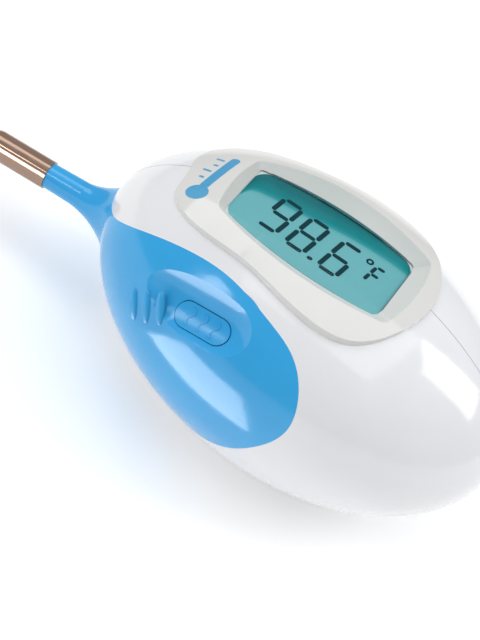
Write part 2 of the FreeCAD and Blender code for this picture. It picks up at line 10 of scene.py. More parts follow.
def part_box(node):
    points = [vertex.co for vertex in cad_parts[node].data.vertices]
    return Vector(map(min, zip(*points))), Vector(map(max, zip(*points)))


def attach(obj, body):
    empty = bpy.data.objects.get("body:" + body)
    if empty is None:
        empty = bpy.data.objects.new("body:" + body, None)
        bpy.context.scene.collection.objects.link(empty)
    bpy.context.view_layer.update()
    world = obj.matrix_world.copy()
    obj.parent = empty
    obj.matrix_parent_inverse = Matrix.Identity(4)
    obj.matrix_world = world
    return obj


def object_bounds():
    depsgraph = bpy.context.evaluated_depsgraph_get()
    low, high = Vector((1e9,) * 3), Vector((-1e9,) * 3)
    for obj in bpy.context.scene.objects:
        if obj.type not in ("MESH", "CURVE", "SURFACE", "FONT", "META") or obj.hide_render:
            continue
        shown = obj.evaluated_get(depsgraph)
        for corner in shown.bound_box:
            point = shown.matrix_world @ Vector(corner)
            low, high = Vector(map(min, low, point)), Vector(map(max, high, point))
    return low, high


# Digital thermometer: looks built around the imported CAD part.
# Lengths are metres in the row frame, except where a name or comment says millimetres.
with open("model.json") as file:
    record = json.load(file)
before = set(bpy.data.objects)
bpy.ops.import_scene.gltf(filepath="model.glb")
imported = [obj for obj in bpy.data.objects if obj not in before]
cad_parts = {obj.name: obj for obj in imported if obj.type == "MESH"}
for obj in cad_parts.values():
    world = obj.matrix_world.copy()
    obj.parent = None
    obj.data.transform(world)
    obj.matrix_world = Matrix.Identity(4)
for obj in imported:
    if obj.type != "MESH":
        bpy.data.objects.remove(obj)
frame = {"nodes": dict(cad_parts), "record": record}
cad_low, cad_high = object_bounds()
MM = 0.001
scene = bpy.context.scene
nodes_of = frame["nodes"]


# Driving sizes ----------------------------------------------------------------------------------

# The egg, in millimetres: one centre and the half-axes to its nose, side, top and bottom.
EGG_CENTRE = Vector((11.373, 0, 20.4))
EGG_NOSE, EGG_SIDE, EGG_TOP, EGG_BOTTOM = 34.7, 22.6, 18.7, 21.9

# The crown that the display cover follows, round the same centre.
CROWN_CENTRE = EGG_CENTRE * MM
CROWN_NOSE, CROWN_BLUNT, CROWN_WIDTH, CROWN_HEIGHT = 35.0 * MM, 43.7 * MM, 26.0 * MM, 18.8 * MM

# The display cell and the plane of its upper face.
DISPLAY_TILT = math.radians(5.0)
LCD_LONG, LCD_THICK = 27.0 * MM, 1.8 * MM
lcd_low, lcd_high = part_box("lcd_cell")
lcd_centre = (lcd_low + lcd_high) / 2
DISPLAY = (Matrix.Translation(lcd_centre) @ Matrix.Rotation(-DISPLAY_TILT, 4, "Y")
           @ Matrix.Translation((0, 0, LCD_THICK / 2)))

# The window's printed outline: half length, half widths at its two ends, bow of its sides, corner radius.
WINDOW_HALF, WINDOW_FRONT, WINDOW_BACK = 13.05 * MM, 5.75 * MM, 6.6 * MM
WINDOW_BOW, WINDOW_CORNER, WINDOW_BLUR = 1.7 * MM, 2.0 * MM, 0.06 * MM
# Reach of the walls' painted light round the display's centre, and its strength: the window walls glow
# faintly though they are no lamp.
PAINTED_GLOW_REACH = (17 * MM, 12 * MM)
WALL_PAINTED_GLOW = 0.27

# Edge of the painted shadow band on the display in display millimetres, and the shadow's colours from that
# edge inward: the shade the window's far edge casts, painted into the glass.
SHADOW_BAND_EDGE = [(-13.5, -3.2), (-12.8, -0.6), (-11.6, 1.3), (-9.6, 1.9), (-7.7, 2.2), (-4.5, 2.6), (1.6, 3.9),
             (8.2, 4.5), (13.5, 4.2)]
SHADOW_BAND_LOW, SHADOW_BAND_SPAN = -4 * MM, 12 * MM
SHADOW_BAND_COLOURS = [(0.0, "6fb4bb"), (0.17, "66aeb4"), (0.26, "2f969c"), (0.45, "008389"), (0.75, "00787e"),
                (1.0, "006a71")]
SHADOW_FADE_START, SHADOW_FADE = 0.8 * MM, 4.2 * MM

# The probe's axis droops towards its tip.
PROBE_TILT = math.radians(9.2)
PROBE_TURN = (0, PROBE_TILT, 0)

# Ball round the short ribs on the left grip: centre, the skin's direction there, radius and softening share.
RIBS = ((-0.0083, -0.0183, 0.0230), (-0.40, -0.88, 0.26), 0.0046, 0.5)


# Materials --------------------------------------------------------------------------------------

def srgb(text):
    # Linear colour from a hexadecimal display colour.
    def linear(c):
        return c / 12.92 if c <= 0.04045 else ((c + 0.055) / 1.055) ** 2.4
    return tuple(linear(int(text[i:i + 2], 16) / 255) for i in (0, 2, 4)) + (1.0,)


class Tree:
    # Small helper that builds one material's node tree.
    def __init__(self, name):
        self.material = bpy.data.materials.new(name)
        self.material.use_nodes = True
        self.tree = self.material.node_tree
        self.shader = self.tree.nodes["Principled BSDF"]
        self.output = self.tree.nodes["Material Output"]
        self.place = self.add("ShaderNodeTexCoord").outputs["Object"]
        self.base_normal = None

    def add(self, kind, **values):
        made = self.tree.nodes.new(kind)
        for key, value in values.items():
            setattr(made, key, value)
        return made

    def link(self, source, target):
        self.tree.links.new(source, target)

    def feed(self, socket, value):
        # Links a socket to another node's output, or sets it to a constant.
        if isinstance(value, bpy.types.NodeSocket):
            self.link(value, socket)
        else:
            socket.default_value = value

    def set(self, **values):
        for key, value in values.items():
            self.shader.inputs[key.replace("_", " ")].default_value = value

    def math(self, operation, a, b=0.0, clamp=False):
        made = self.add("ShaderNodeMath", operation=operation, use_clamp=clamp)
        self.feed(made.inputs[0], a)
        self.feed(made.inputs[1], b)
        return made.outputs[0]

    def split(self, vector=None):
        made = self.add("ShaderNodeSeparateXYZ")
        self.link(vector or self.place, made.inputs[0])
        return made.outputs["X"], made.outputs["Y"], made.outputs["Z"]

    def combine(self, x, y, z):
        made = self.add("ShaderNodeCombineXYZ")
        for socket, value in zip(made.inputs, (x, y, z)):
            self.feed(socket, value)
        return made.outputs[0]

    def stretch(self, scale, turn=(0, 0, 0)):
        made = self.add("ShaderNodeMapping")
        made.inputs["Scale"].default_value = scale
        made.inputs["Rotation"].default_value = turn
        self.link(self.place, made.inputs["Vector"])
        return made.outputs[0]

    def noise(self, scale, detail=2.0, rough=0.5, vector=None):
        made = self.add("ShaderNodeTexNoise")
        made.inputs["Scale"].default_value = scale
        made.inputs["Detail"].default_value = detail
        made.inputs["Roughness"].default_value = rough
        self.link(vector or self.place, made.inputs["Vector"])
        return made.outputs["Fac"]

    def spread(self, value, low, high, start=0.3, end=0.7):
        # Maps start..end onto low..high and clamps outside.
        made = self.add("ShaderNodeMapRange", clamp=True)
        for socket, number in zip(list(made.inputs)[1:5], (start, end, low, high)):
            socket.default_value = number
        self.link(value, made.inputs[0])
        return made.outputs[0]

    def mix(self, factor, a, b):
        made = self.add("ShaderNodeMix", data_type="RGBA")
        self.link(factor, made.inputs["Factor"])
        self.feed(made.inputs["A"], a)
        self.feed(made.inputs["B"], b)
        return made.outputs["Result"]

    def mix_normals(self, factor, a, b):
        made = self.add("ShaderNodeMix", data_type="VECTOR")
        self.link(factor, made.inputs["Factor"])
        self.link(a, made.inputs[4])
        self.link(b, made.inputs[5])
        return made.outputs[1]

    def surface_normal(self):
        return self.add("ShaderNodeNewGeometry").outputs["Normal"]

    def bump(self, height, depth, strength=1.0):
        made = self.add("ShaderNodeBump")
        made.inputs["Strength"].default_value = strength
        made.inputs["Distance"].default_value = depth
        self.link(height, made.inputs["Height"])
        if self.base_normal:
            self.link(self.base_normal, made.inputs["Normal"])
        self.link(made.outputs["Normal"], self.shader.inputs["Normal"])

    def soften(self, centre, lean, radius, share):
        # Blends the shading normal towards one direction inside a ball on the left, mirrored to the right.
        x, y, z = self.split()
        left_y = self.math("MULTIPLY", self.math("ABSOLUTE", y), -1.0)
        distance = self.add("ShaderNodeVectorMath", operation="DISTANCE")
        self.link(self.combine(x, left_y, z), distance.inputs[0])
        distance.inputs[1].default_value = centre
        target = self.combine(lean[0], self.math("MULTIPLY", self.math("SIGN", y), -lean[1]), lean[2])
        inside = self.spread(distance.outputs["Value"], share, 0, 0.7 * radius, radius)
        self.base_normal = self.mix_normals(inside, self.surface_normal(), target)


def plastic(name, light, dark, gloss, grain=2600.0, depth=4e-6, flow=90.0, soft=None, **sockets):
    # Moulded plastic: faint flow marks in its colour, uneven gloss and a fine mould texture.
    t = Tree(name)
    colour = t.mix(t.spread(t.noise(flow, 3.0), 0, 1), srgb(dark), srgb(light))
    t.link(colour, t.shader.inputs["Base Color"])
    t.link(t.spread(t.noise(flow * 4, 4.0), *gloss), t.shader.inputs["Roughness"])
    if soft:
        t.soften(*soft)
    t.bump(t.noise(grain, 3.0), depth)
    t.set(**sockets)
    return t.material


def metal(name, light, dark, gloss, along=(1, 1, 1), turn=(0, 0, 0), depth=3e-6, metallic=1.0):
    # Metal with fine drawing or turning lines along one direction.
    t = Tree(name)
    lines = t.noise(5000.0, 3.0, 0.6, t.stretch(along, turn))
    t.link(t.mix(t.spread(lines, 0, 1), srgb(dark), srgb(light)), t.shader.inputs["Base Color"])
    t.link(t.spread(t.noise(400.0, 4.0), *gloss), t.shader.inputs["Roughness"])
    t.bump(lines, depth)
    t.set(Metallic=metallic)
    return t.material


def circuit_board(name):
    # Solder mask over copper tracks.
    t = Tree(name)
    tracks = t.add("ShaderNodeTexBrick")
    tracks.inputs["Scale"].default_value = 260.0
    tracks.inputs["Mortar Size"].default_value = 0.035
    t.link(t.place, tracks.inputs["Vector"])
    grain = t.noise(700.0, 4.0)
    base = t.mix(t.spread(grain, 0, 1), srgb("0e4a22"), srgb("14602e"))
    t.link(t.mix(tracks.outputs["Fac"], base, srgb("2c8a48")), t.shader.inputs["Base Color"])
    t.link(t.spread(grain, 0.25, 0.42), t.shader.inputs["Roughness"])
    t.bump(tracks.outputs["Fac"], 2e-5, 0.4)
    return t.material


def striped(name, light, dark, scale):
    # Layered rubber strip: conducting and insulating bands.
    t = Tree(name)
    bands = t.add("ShaderNodeTexWave")
    bands.inputs["Scale"].default_value = scale
    t.link(t.place, bands.inputs["Vector"])
    t.link(t.mix(bands.outputs["Fac"], srgb(dark), srgb(light)), t.shader.inputs["Base Color"])
    t.link(t.spread(t.noise(900.0), 0.55, 0.7), t.shader.inputs["Roughness"])
    t.bump(bands.outputs["Fac"], 1e-5, 0.5)
    return t.material


COVER_LIGHT, COVER_DARK = srgb("e4e4e2"), srgb("dfdfdd")
# Painted shade: the darkest teal of the display's shadow band, used on the cover's walls inside the window's
# printed outline.
SHADOW_TEAL = srgb("00686f")


def window_share(t, x, y):
    # 1 inside the window's printed outline and 0 outside: bowed long sides and round corners.
    along = t.math("SUBTRACT", x, lcd_centre.x)
    part = t.math("MULTIPLY", along, 1 / WINDOW_HALF)
    widening = t.math("MULTIPLY", part, (WINDOW_BACK - WINDOW_FRONT) / 2)
    straight = t.math("ADD", widening, (WINDOW_BACK + WINDOW_FRONT) / 2)
    bow = t.math("MULTIPLY", t.math("SUBTRACT", 1.0, t.math("MULTIPLY", part, part)), WINDOW_BOW)
    side = t.math("SUBTRACT", t.math("ADD", straight, bow), WINDOW_CORNER)
    over_y = t.math("MAXIMUM", t.math("SUBTRACT", t.math("ABSOLUTE", y), side), 0.0)
    past_end = t.math("SUBTRACT", t.math("ABSOLUTE", along), WINDOW_HALF - WINDOW_CORNER)
    over_x = t.math("MAXIMUM", past_end, 0.0)
    square = t.math("ADD", t.math("MULTIPLY", over_x, over_x), t.math("MULTIPLY", over_y, over_y))
    reach = t.math("SQRT", square)
    return t.spread(reach, 1.0, 0.0, WINDOW_CORNER - WINDOW_BLUR, WINDOW_CORNER + WINDOW_BLUR)


def painted_shadow_edge(t, along):
    # Height of the painted shadow band's edge across the display, for a place 0..1 along it.
    curve = t.add("ShaderNodeFloatCurve")
    edge = curve.mapping.curves[0]
    points = [(x * MM / LCD_LONG + 0.5, (y * MM - SHADOW_BAND_LOW) / SHADOW_BAND_SPAN) for x, y in SHADOW_BAND_EDGE]
    while len(edge.points) < len(points):
        edge.points.new(0.5, 0.5)
    for point, spot in zip(edge.points, points):
        point.location = spot
    curve.mapping.update()
    t.link(along, curve.inputs["Value"])
    return t.math("MULTIPLY", t.math("ADD", curve.outputs["Value"], SHADOW_BAND_LOW / SHADOW_BAND_SPAN), SHADOW_BAND_SPAN)


def shadowed_liquid_crystal(name):
    # Backlit teal glass with a painted shadow: its far side, which lies deep under the window's edge, is
    # painted darker as shade.
    t = Tree(name)
    x, y, _ = t.split()
    along = t.math("MULTIPLY", t.math("SUBTRACT", x, lcd_centre.x), 1 / LCD_LONG)
    # Painted shadow: places past the band's edge get the darker teal colours.
    above = t.math("SUBTRACT", y, painted_shadow_edge(t, t.math("ADD", along, 0.5, clamp=True)))
    shadow_ramp = t.add("ShaderNodeValToRGB")
    while len(shadow_ramp.color_ramp.elements) < len(SHADOW_BAND_COLOURS):
        shadow_ramp.color_ramp.elements.new(0.5)
    for element, (at, colour) in zip(shadow_ramp.color_ramp.elements, SHADOW_BAND_COLOURS):
        element.position = at
        element.color = srgb(colour)
    shadow_fade = t.math("MULTIPLY", t.math("ADD", above, SHADOW_FADE_START), 1 / SHADOW_FADE, clamp=True)
    t.link(shadow_fade, shadow_ramp.inputs["Fac"])
    shimmer = t.spread(t.noise(160.0, 2.0), 0.0, 0.08)
    glass = t.mix(shimmer, shadow_ramp.outputs["Color"], srgb("8cc6cb"))
    t.link(t.mix(window_share(t, x, y), COVER_LIGHT, glass), t.shader.inputs["Base Color"])
    t.link(t.spread(t.noise(800.0), 0.35, 0.45), t.shader.inputs["Roughness"])
    t.set(Specular_IOR_Level=0.1)
    return t.material


def window_gasket(name):
    # Foam frame under the window: teal inside the printed outline and pale outside it.
    t = Tree(name)
    x, y, _ = t.split()
    foam = t.mix(t.spread(t.noise(900.0, 3.0), 0, 1), srgb("045c63"), srgb("06656c"))
    t.link(t.mix(window_share(t, x, y), COVER_LIGHT, foam), t.shader.inputs["Base Color"])
    t.link(t.spread(t.noise(900.0), 0.8, 0.95), t.shader.inputs["Roughness"])
    t.bump(t.noise(6000.0, 3.0), 4e-5)
    return t.material


def clear_lens(name):
    # Clear window: see-through, with mirror gloss on the outer faces that look up.
    upward, gloss_share = 0.86, 0.3
    t = Tree(name)
    t.tree.nodes.remove(t.shader)
    clear = t.add("ShaderNodeBsdfTransparent")
    tint = t.mix(t.spread(t.noise(60.0), 0, 1), (0.96, 0.985, 0.985, 1), (0.985, 0.995, 0.995, 1))
    t.link(tint, clear.inputs["Color"])
    gloss = t.add("ShaderNodeBsdfGlossy")
    t.link(t.spread(t.noise(500.0), 0.02, 0.05), gloss.inputs["Roughness"])
    bend = t.add("ShaderNodeFresnel")
    bend.inputs["IOR"].default_value = 1.46
    geometry = t.add("ShaderNodeNewGeometry")
    outside = t.math("GREATER_THAN", t.split(geometry.outputs["Normal"])[2], upward)
    outside = t.math("SUBTRACT", outside, geometry.outputs["Backfacing"], clamp=True)
    share = t.math("MULTIPLY", t.math("MULTIPLY", bend.outputs[0], outside), gloss_share)
    blend = t.add("ShaderNodeMixShader")
    t.link(share, blend.inputs["Fac"])
    t.link(clear.outputs[0], blend.inputs[1])
    t.link(gloss.outputs[0], blend.inputs[2])
    t.link(blend.outputs[0], t.output.inputs["Surface"])
    return t.material


def crown_normal(t, x, y, z):
    # Direction of the crown's surface over a place, as the gradient of its half-axes.
    blunt_side = t.math("GREATER_THAN", x, CROWN_CENTRE.x)
    slope_x = t.math("MULTIPLY", blunt_side, CROWN_BLUNT ** -2 - CROWN_NOSE ** -2)
    slope_x = t.math("ADD", slope_x, CROWN_NOSE ** -2)
    gradient = t.combine(t.math("MULTIPLY", t.math("SUBTRACT", x, CROWN_CENTRE.x), slope_x),
                         t.math("MULTIPLY", y, CROWN_WIDTH ** -2),
                         t.math("MULTIPLY", t.math("SUBTRACT", z, CROWN_CENTRE.z), CROWN_HEIGHT ** -2))
    smooth = t.add("ShaderNodeVectorMath", operation="NORMALIZE")
    t.link(gradient, smooth.inputs[0])
    return smooth.outputs[0]


def glossy_cover_painted_glow(name):
    # Grey print under a clear skin. Inside the window's printed outline its walls carry painted shade in
    # deep teal. The window's walls shade like the crown above them and glow faintly: painted light from an
    # emission, though they are no lamp.
    t = Tree(name)
    x, y, z = t.split()
    print_colour = t.mix(t.spread(t.noise(90.0, 3.0), 0, 1), COVER_DARK, COVER_LIGHT)
    # Painted shade: inside the window's printed outline the cover is painted in the display's deep shadow
    # teal.
    t.link(t.mix(window_share(t, x, y), print_colour, SHADOW_TEAL), t.shader.inputs["Base Color"])
    t.link(t.spread(t.noise(360.0, 4.0), 0.08, 0.14), t.shader.inputs["Roughness"])
    normal = t.surface_normal()
    upward = t.split(normal)[2]
    t.base_normal = t.mix_normals(t.spread(upward, 0, 1, 0.35, 0.45), normal, crown_normal(t, x, y, z))
    t.bump(t.noise(2600.0, 3.0), 2e-6)
    # Painted light: upward-sloping wall faces near the display glow faintly.
    near_x = t.math("LESS_THAN", t.math("ABSOLUTE", t.math("SUBTRACT", x, lcd_centre.x)), PAINTED_GLOW_REACH[0])
    near_y = t.math("LESS_THAN", t.math("ABSOLUTE", y), PAINTED_GLOW_REACH[1])
    painted_glow_mask = t.math("MULTIPLY", t.math("MULTIPLY", near_x, near_y), t.spread(upward, 1, 0, 0.7, 0.85))
    painted_glow_mask = t.math("MULTIPLY", painted_glow_mask, t.math("GREATER_THAN", upward, 0.4))
    t.link(t.math("MULTIPLY", painted_glow_mask, WALL_PAINTED_GLOW), t.shader.inputs["Emission Strength"])
    t.set(Coat_Weight=0.4, Coat_Roughness=0.04, Emission_Color=(1, 0.98, 0.98, 1))
    return t.material


MATERIALS = {
    "grip_blue": plastic("grip_blue", "34afee", "2ea8e9", (0.13, 0.19), soft=RIBS,
                         Coat_Weight=0.25, Coat_Roughness=0.08),
    "button_blue": plastic("button_blue", "32aceb", "2ca5e5", (0.2, 0.28),
                           Coat_Weight=0.1, Coat_Roughness=0.15),
    "case_white": plastic("case_white", "f2f3f6", "eeeff3", (0.1, 0.16),
                          Coat_Weight=0.3, Coat_Roughness=0.05),
    "door_white": plastic("door_white", "ecedf0", "e6e7eb", (0.28, 0.38)),
    "cover_grey": glossy_cover_painted_glow("cover_grey"),
    "lens_clear": clear_lens("lens_clear"),
    "lcd_teal": shadowed_liquid_crystal("lcd_teal"),
    "guide_acrylic": plastic("guide_acrylic", "e2f3f3", "d2e8e8", (0.3, 0.45)),
    "lamp_resin": plastic("lamp_resin", "f4f0c8", "e6dfa8", (0.2, 0.3)),
    "gasket_foam": window_gasket("gasket_foam"),
    "elastomer": striped("elastomer", "d8b9c0", "6a4a52", 1200.0),
    "holder_plastic": plastic("holder_plastic", "dcdcdc", "d0d0d0", (0.4, 0.55)),
    "board_green": circuit_board("board_green"),
    "chip_epoxy": plastic("chip_epoxy", "1c1c1e", "121214", (0.35, 0.5)),
    "buzzer_black": plastic("buzzer_black", "232326", "17171a", (0.45, 0.6)),
    "can_nickel": metal("can_nickel", "d9d6cc", "b9b5a8", (0.2, 0.3), (0.05, 1, 1)),
    "chip_ceramic": plastic("chip_ceramic", "b59a78", "96795a", (0.5, 0.65)),
    "cup_plastic": plastic("cup_plastic", "d6d6d6", "c8c8c8", (0.4, 0.55)),
    "cell_steel": metal("cell_steel", "dedddb", "c4c2be", (0.18, 0.28), (1, 1, 0.05)),
    "contact_spring": metal("contact_spring", "e0dac6", "c8bfa2", (0.2, 0.32), (0.05, 1, 1)),
    "seal_rubber": plastic("seal_rubber", "202123", "151618", (0.55, 0.7)),
    "switch_black": plastic("switch_black", "242528", "17181a", (0.4, 0.55)),
    "plunger_plastic": plastic("plunger_plastic", "b23a34", "98302c", (0.35, 0.5)),
    "pin_metal": metal("pin_metal", "e2cf96", "c8b070", (0.2, 0.3), (1, 0.05, 1)),
    "liner_plastic": plastic("liner_plastic", "eeeeea", "e2e2dc", (0.35, 0.5)),
    "bead_resin": plastic("bead_resin", "26262a", "1a1a1e", (0.15, 0.25)),
    "wire_enamel": plastic("wire_enamel", "b0442c", "8c3422", (0.3, 0.4)),
    "filler_epoxy": plastic("filler_epoxy", "c9bfa6", "b4a98e", (0.3, 0.45)),
    "tip_steel": metal("tip_steel", "ab8f7e", "a28675", (0.08, 0.12), (0.03, 1, 1), PROBE_TURN, 4e-7, 0.6),
    "screw_steel": metal("screw_steel", "b4b6ba", "94969a", (0.25, 0.38), (1, 0.05, 1)),
}
for part in frame["record"]["subparts"]:
    shown = nodes_of[part["node"]]
    shown.data.materials.clear()
    shown.data.materials.append(MATERIALS[part["material_slot"]])


# Displayed reading ------------------------------------------------------------------------------

def add_piece(name, bm, material):
    # Turns a finished bmesh into a visible piece of one material.
    bmesh.ops.recalc_face_normals(bm, faces=bm.faces)
    mesh = bpy.data.meshes.new(name)
    bm.to_mesh(mesh)
    bm.free()
    mesh.materials.append(material)
    made = bpy.data.objects.new(name, mesh)
    scene.collection.objects.link(made)
    return made


def flat_marks(name, outlines, thick, place, material):
    # Thin flat pieces with the given closed outlines, in millimetres on a plane.
    bm = bmesh.new()
    for outline in outlines:
        base = [bm.verts.new((x * MM, y * MM, 0)) for x, y in outline]
        top = [bm.verts.new((x * MM, y * MM, thick)) for x, y in outline]
        bm.faces.new(top)
        bm.faces.new(base[::-1])
        for a in range(len(outline)):
            b = (a + 1) % len(outline)
            bm.faces.new((base[a], base[b], top[b], top[a]))
    bm.transform(place)
    return add_piece(name, bm, material)


def stadium(start, end, width, steps=6):
    # Rounded bar between two points.
    a, b = Vector(start), Vector(end)
    heading = math.atan2(b.y - a.y, b.x - a.x)
    outline = []
    for centre, first in ((b, -90), (a, 90)):
        for step in range(steps + 1):
            angle = heading + math.radians(first + 180 * step / steps)
            outline.append((centre.x + width / 2 * math.cos(angle), centre.y + width / 2 * math.sin(angle)))
    return outline


SEGMENTS = {
    "top": ((0, 2), (1, 2)), "middle": ((0, 1), (1, 1)), "bottom": ((0, 0), (1, 0)),
    "upper_left": ((0, 1), (0, 2)), "upper_right": ((1, 1), (1, 2)),
    "lower_left": ((0, 0), (0, 1)), "lower_right": ((1, 0), (1, 1)),
}
SHOWN = {
    "9": ["top", "middle", "bottom", "upper_left", "upper_right", "lower_right"],
    "8": list(SEGMENTS),
    "6": ["top", "middle", "bottom", "upper_left", "lower_left", "lower_right"],
    "F": ["top", "middle", "upper_left", "lower_left"],
}
SLANT, SEGMENT_GAP = 0.125, 0.8
DIGIT_WIDTH, DIGIT_HEIGHT, DIGIT_BAR = 2.95, 7.15, 0.72
UNIT_WIDTH, UNIT_HEIGHT, UNIT_BAR = 1.5, 3.7, 0.56
RING_AT, RING_RADIUS, RING_BAR, RING_BARS = (7.6, 2.42), 0.46, 0.32, 6
DIGIT_THICK, DIGIT_LIFT = 0.02 * MM, 0.01 * MM


def character(text, centre, width, height, bar):
    # Seven-segment character round a centre point.
    outlines = []
    for segment in SHOWN[text]:
        ends = []
        for column, row in SEGMENTS[segment]:
            y = (row - 1) * height / 2
            ends.append(Vector((centre[0] + (column - 0.5) * width + SLANT * y, centre[1] + y)))
        run = (ends[1] - ends[0]).normalized() * bar * SEGMENT_GAP
        outlines.append(stadium(ends[0] + run, ends[1] - run, bar))
    return outlines


def ring_point(turn):
    # Point on the degree ring after a number of turns.
    angle = math.tau * turn
    return RING_AT[0] + RING_RADIUS * math.cos(angle), RING_AT[1] + RING_RADIUS * math.sin(angle)


digits = []
for text, centre in (("9", (-6.45, 0.02)), ("8", (-1.66, -0.28)), ("6", (4.0, -0.6))):
    digits += character(text, centre, DIGIT_WIDTH, DIGIT_HEIGHT, DIGIT_BAR)
digits.append(stadium((0.5, -3.98), (0.72, -3.96), 0.68))
digits += character("F", (9.35, 0.42), UNIT_WIDTH, UNIT_HEIGHT, UNIT_BAR)
for number in range(RING_BARS):
    start, end = (ring_point((number + share) / RING_BARS) for share in (0.12, 0.88))
    digits.append(stadium(start, end, RING_BAR, 4))
digit_ink = plastic("digit_ink", "003a45", "00323c", (0.5, 0.6), Specular_IOR_Level=0.15)
digit_place = DISPLAY @ Matrix.Translation((0, 0, DIGIT_LIFT))
lcd_digits = flat_marks("lcd_digits", digits, DIGIT_THICK, digit_place, digit_ink)
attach(lcd_digits, "case")


# Generic thermometer sign printed across the nose end of the cover --------------------------------

SIGN_AT = Vector((-12.2, -0.6)) * MM
SIGN_TURN = math.radians(83)
BULB_RADIUS, STEM_WIDTH, MARK_WIDTH = 1.45, 1.25, 0.42
MARK_START, MARK_STEP, SHORT_MARK, LONG_MARK = -1.6, 1.7, 1.6, 2.1
INK_LIFT, INK_CELL = 0.012 * MM, 0.6 * MM


def surface_height(node_name):
    # Function giving the height of a CAD node's upper surface over a point.
    mesh = nodes_of[node_name].data
    tree = BVHTree.FromPolygons([v.co for v in mesh.vertices], [p.vertices for p in mesh.polygons])

    def height(x, y):
        return tree.ray_cast(Vector((x, y, cad_high.z + 0.02)), Vector((0, 0, -1)))[0].z
    return height


def printed_patch(name, outlines, node_name, material):
    # Thin ink patches cut into small cells so that they follow the surface below them.
    height = surface_height(node_name)
    bm = bmesh.new()
    for outline in outlines:
        bm.faces.new([bm.verts.new((x, y, 0)) for x, y in outline])
    low = [min(v.co[axis] for v in bm.verts) for axis in (0, 1)]
    high = [max(v.co[axis] for v in bm.verts) for axis in (0, 1)]
    for axis in (0, 1):
        normal = Vector((1 - axis, axis, 0))
        for step in range(1, int((high[axis] - low[axis]) / INK_CELL) + 1):
            at = normal * (low[axis] + step * INK_CELL)
            geometry = bm.verts[:] + bm.edges[:] + bm.faces[:]
            bmesh.ops.bisect_plane(bm, geom=geometry, plane_co=at, plane_no=normal)
    for vert in bm.verts:
        vert.co.z = height(vert.co.x, vert.co.y) + INK_LIFT
    shell = bmesh.ops.extrude_face_region(bm, geom=bm.faces[:])
    for item in shell["geom"]:
        if isinstance(item, bmesh.types.BMVert):
            item.co.z -= 2 * INK_LIFT
    return add_piece(name, bm, material)


def sign_place(points):
    # Sign coordinates in millimetres, +X along its stem, to the row frame.
    turn = Matrix.Rotation(SIGN_TURN, 2)
    return [tuple(SIGN_AT + turn @ Vector(point) * MM) for point in points]


def disc(centre, radius, steps=28):
    angles = [math.tau * step / steps for step in range(steps)]
    return [(centre[0] + radius * math.cos(angle), centre[1] + radius * math.sin(angle)) for angle in angles]


sign = [sign_place(disc((-4.6, 0), BULB_RADIUS)), sign_place(stadium((-3.0, 0), (4.6, 0), STEM_WIDTH, 8))]
for number in range(4):
    mark_x = MARK_START + MARK_STEP * number
    mark_end = LONG_MARK if number % 2 else SHORT_MARK
    sign.append(sign_place(stadium((mark_x, STEM_WIDTH), (mark_x, mark_end), MARK_WIDTH, 5)))
sign_ink = plastic("sign_ink", "4fa6d4", "479fce", (0.25, 0.35))
cover_sign = printed_patch("cover_sign", sign, "display_cover", sign_ink)
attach(cover_sign, "case")


# Smooth root of the neck, in millimetres ----------------------------------------------------------

NECK_AT = Vector((-23.327, 0, 14.5))
NECK_ALONG = Vector((math.cos(PROBE_TILT), 0, math.sin(PROBE_TILT)))
NECK_UP = Vector((-math.sin(PROBE_TILT), 0, math.cos(PROBE_TILT)))
NECK_RADIUS, ROOT_CORE = 2.03, 1.2
TOP_FILLET, BOTTOM_FILLET = 9.0, 16.5
TOP_ADVANCE = 1.3
ARC_STEPS, TAIL_STEPS, ROOT_COLUMNS = 14, 4, 72
SAMPLE_START, SAMPLE_STEP, SAMPLES = 1.5, 0.08, 130


def halve(low, high, is_low):
    # Narrows a range down to the place where is_low stops being true.
    for _ in range(30):
        middle = (low + high) / 2
        low, high = (middle, high) if is_low(middle) else (low, middle)
    return low, high


def nose_depth(heading, radius):
    # How far along the neck's axis the egg's nose begins at this distance from the axis.
    def outside(at):
        offset = NECK_AT + NECK_ALONG * at + heading * radius - EGG_CENTRE
        height = EGG_TOP if offset.z > 0 else EGG_BOTTOM
        return (offset.x / EGG_NOSE) ** 2 + (offset.y / EGG_SIDE) ** 2 + (offset.z / height) ** 2 >= 1
    return halve(-2.0, 30.0, outside)[1]


def root_profile(angle):
    # One lengthwise section of the skin: neck end, fillet arc, tail along the egg, and back inside.
    heading = NECK_UP * math.cos(angle) + Vector((0, math.sin(angle), 0))
    fullness = ((1 - math.cos(angle)) / 2) ** 1.3
    fillet = TOP_FILLET + (BOTTOM_FILLET - TOP_FILLET) * fullness
    advance = TOP_ADVANCE * ((1 + math.cos(angle)) / 2) ** 1.5
    arc_radius = NECK_RADIUS + fillet
    radii = [SAMPLE_START + SAMPLE_STEP * k for k in range(SAMPLES)]
    egg_line = [(nose_depth(heading, radius), radius) for radius in radii]

    def gap(at):
        return min((math.hypot(x - at, radius - arc_radius), x, radius) for x, radius in egg_line)

    clear = halve(-20.0, 4.0, lambda at: gap(at)[0] > fillet)[0]
    _, touch_x, touch_radius = gap(clear)
    sweep = math.atan2(touch_x - clear, arc_radius - touch_radius)
    start = clear + advance
    spots = [(start, ROOT_CORE)]
    for step in range(ARC_STEPS + 1):
        turn = sweep * step / ARC_STEPS
        sink = 0.0 if step else 0.05
        spots.append((start + fillet * math.sin(turn), arc_radius - fillet * math.cos(turn) - sink))
    for step in range(1, TAIL_STEPS + 1):
        radius = touch_radius + 0.5 * step
        spots.append((nose_depth(heading, radius) + advance + 0.015 * step, radius))
    last_x, last_radius = spots[-1]
    spots += [(last_x + 1.0, last_radius), (touch_x + advance + 1.5, ROOT_CORE)]
    return [(NECK_AT + NECK_ALONG * x + heading * radius) * MM for x, radius in spots]


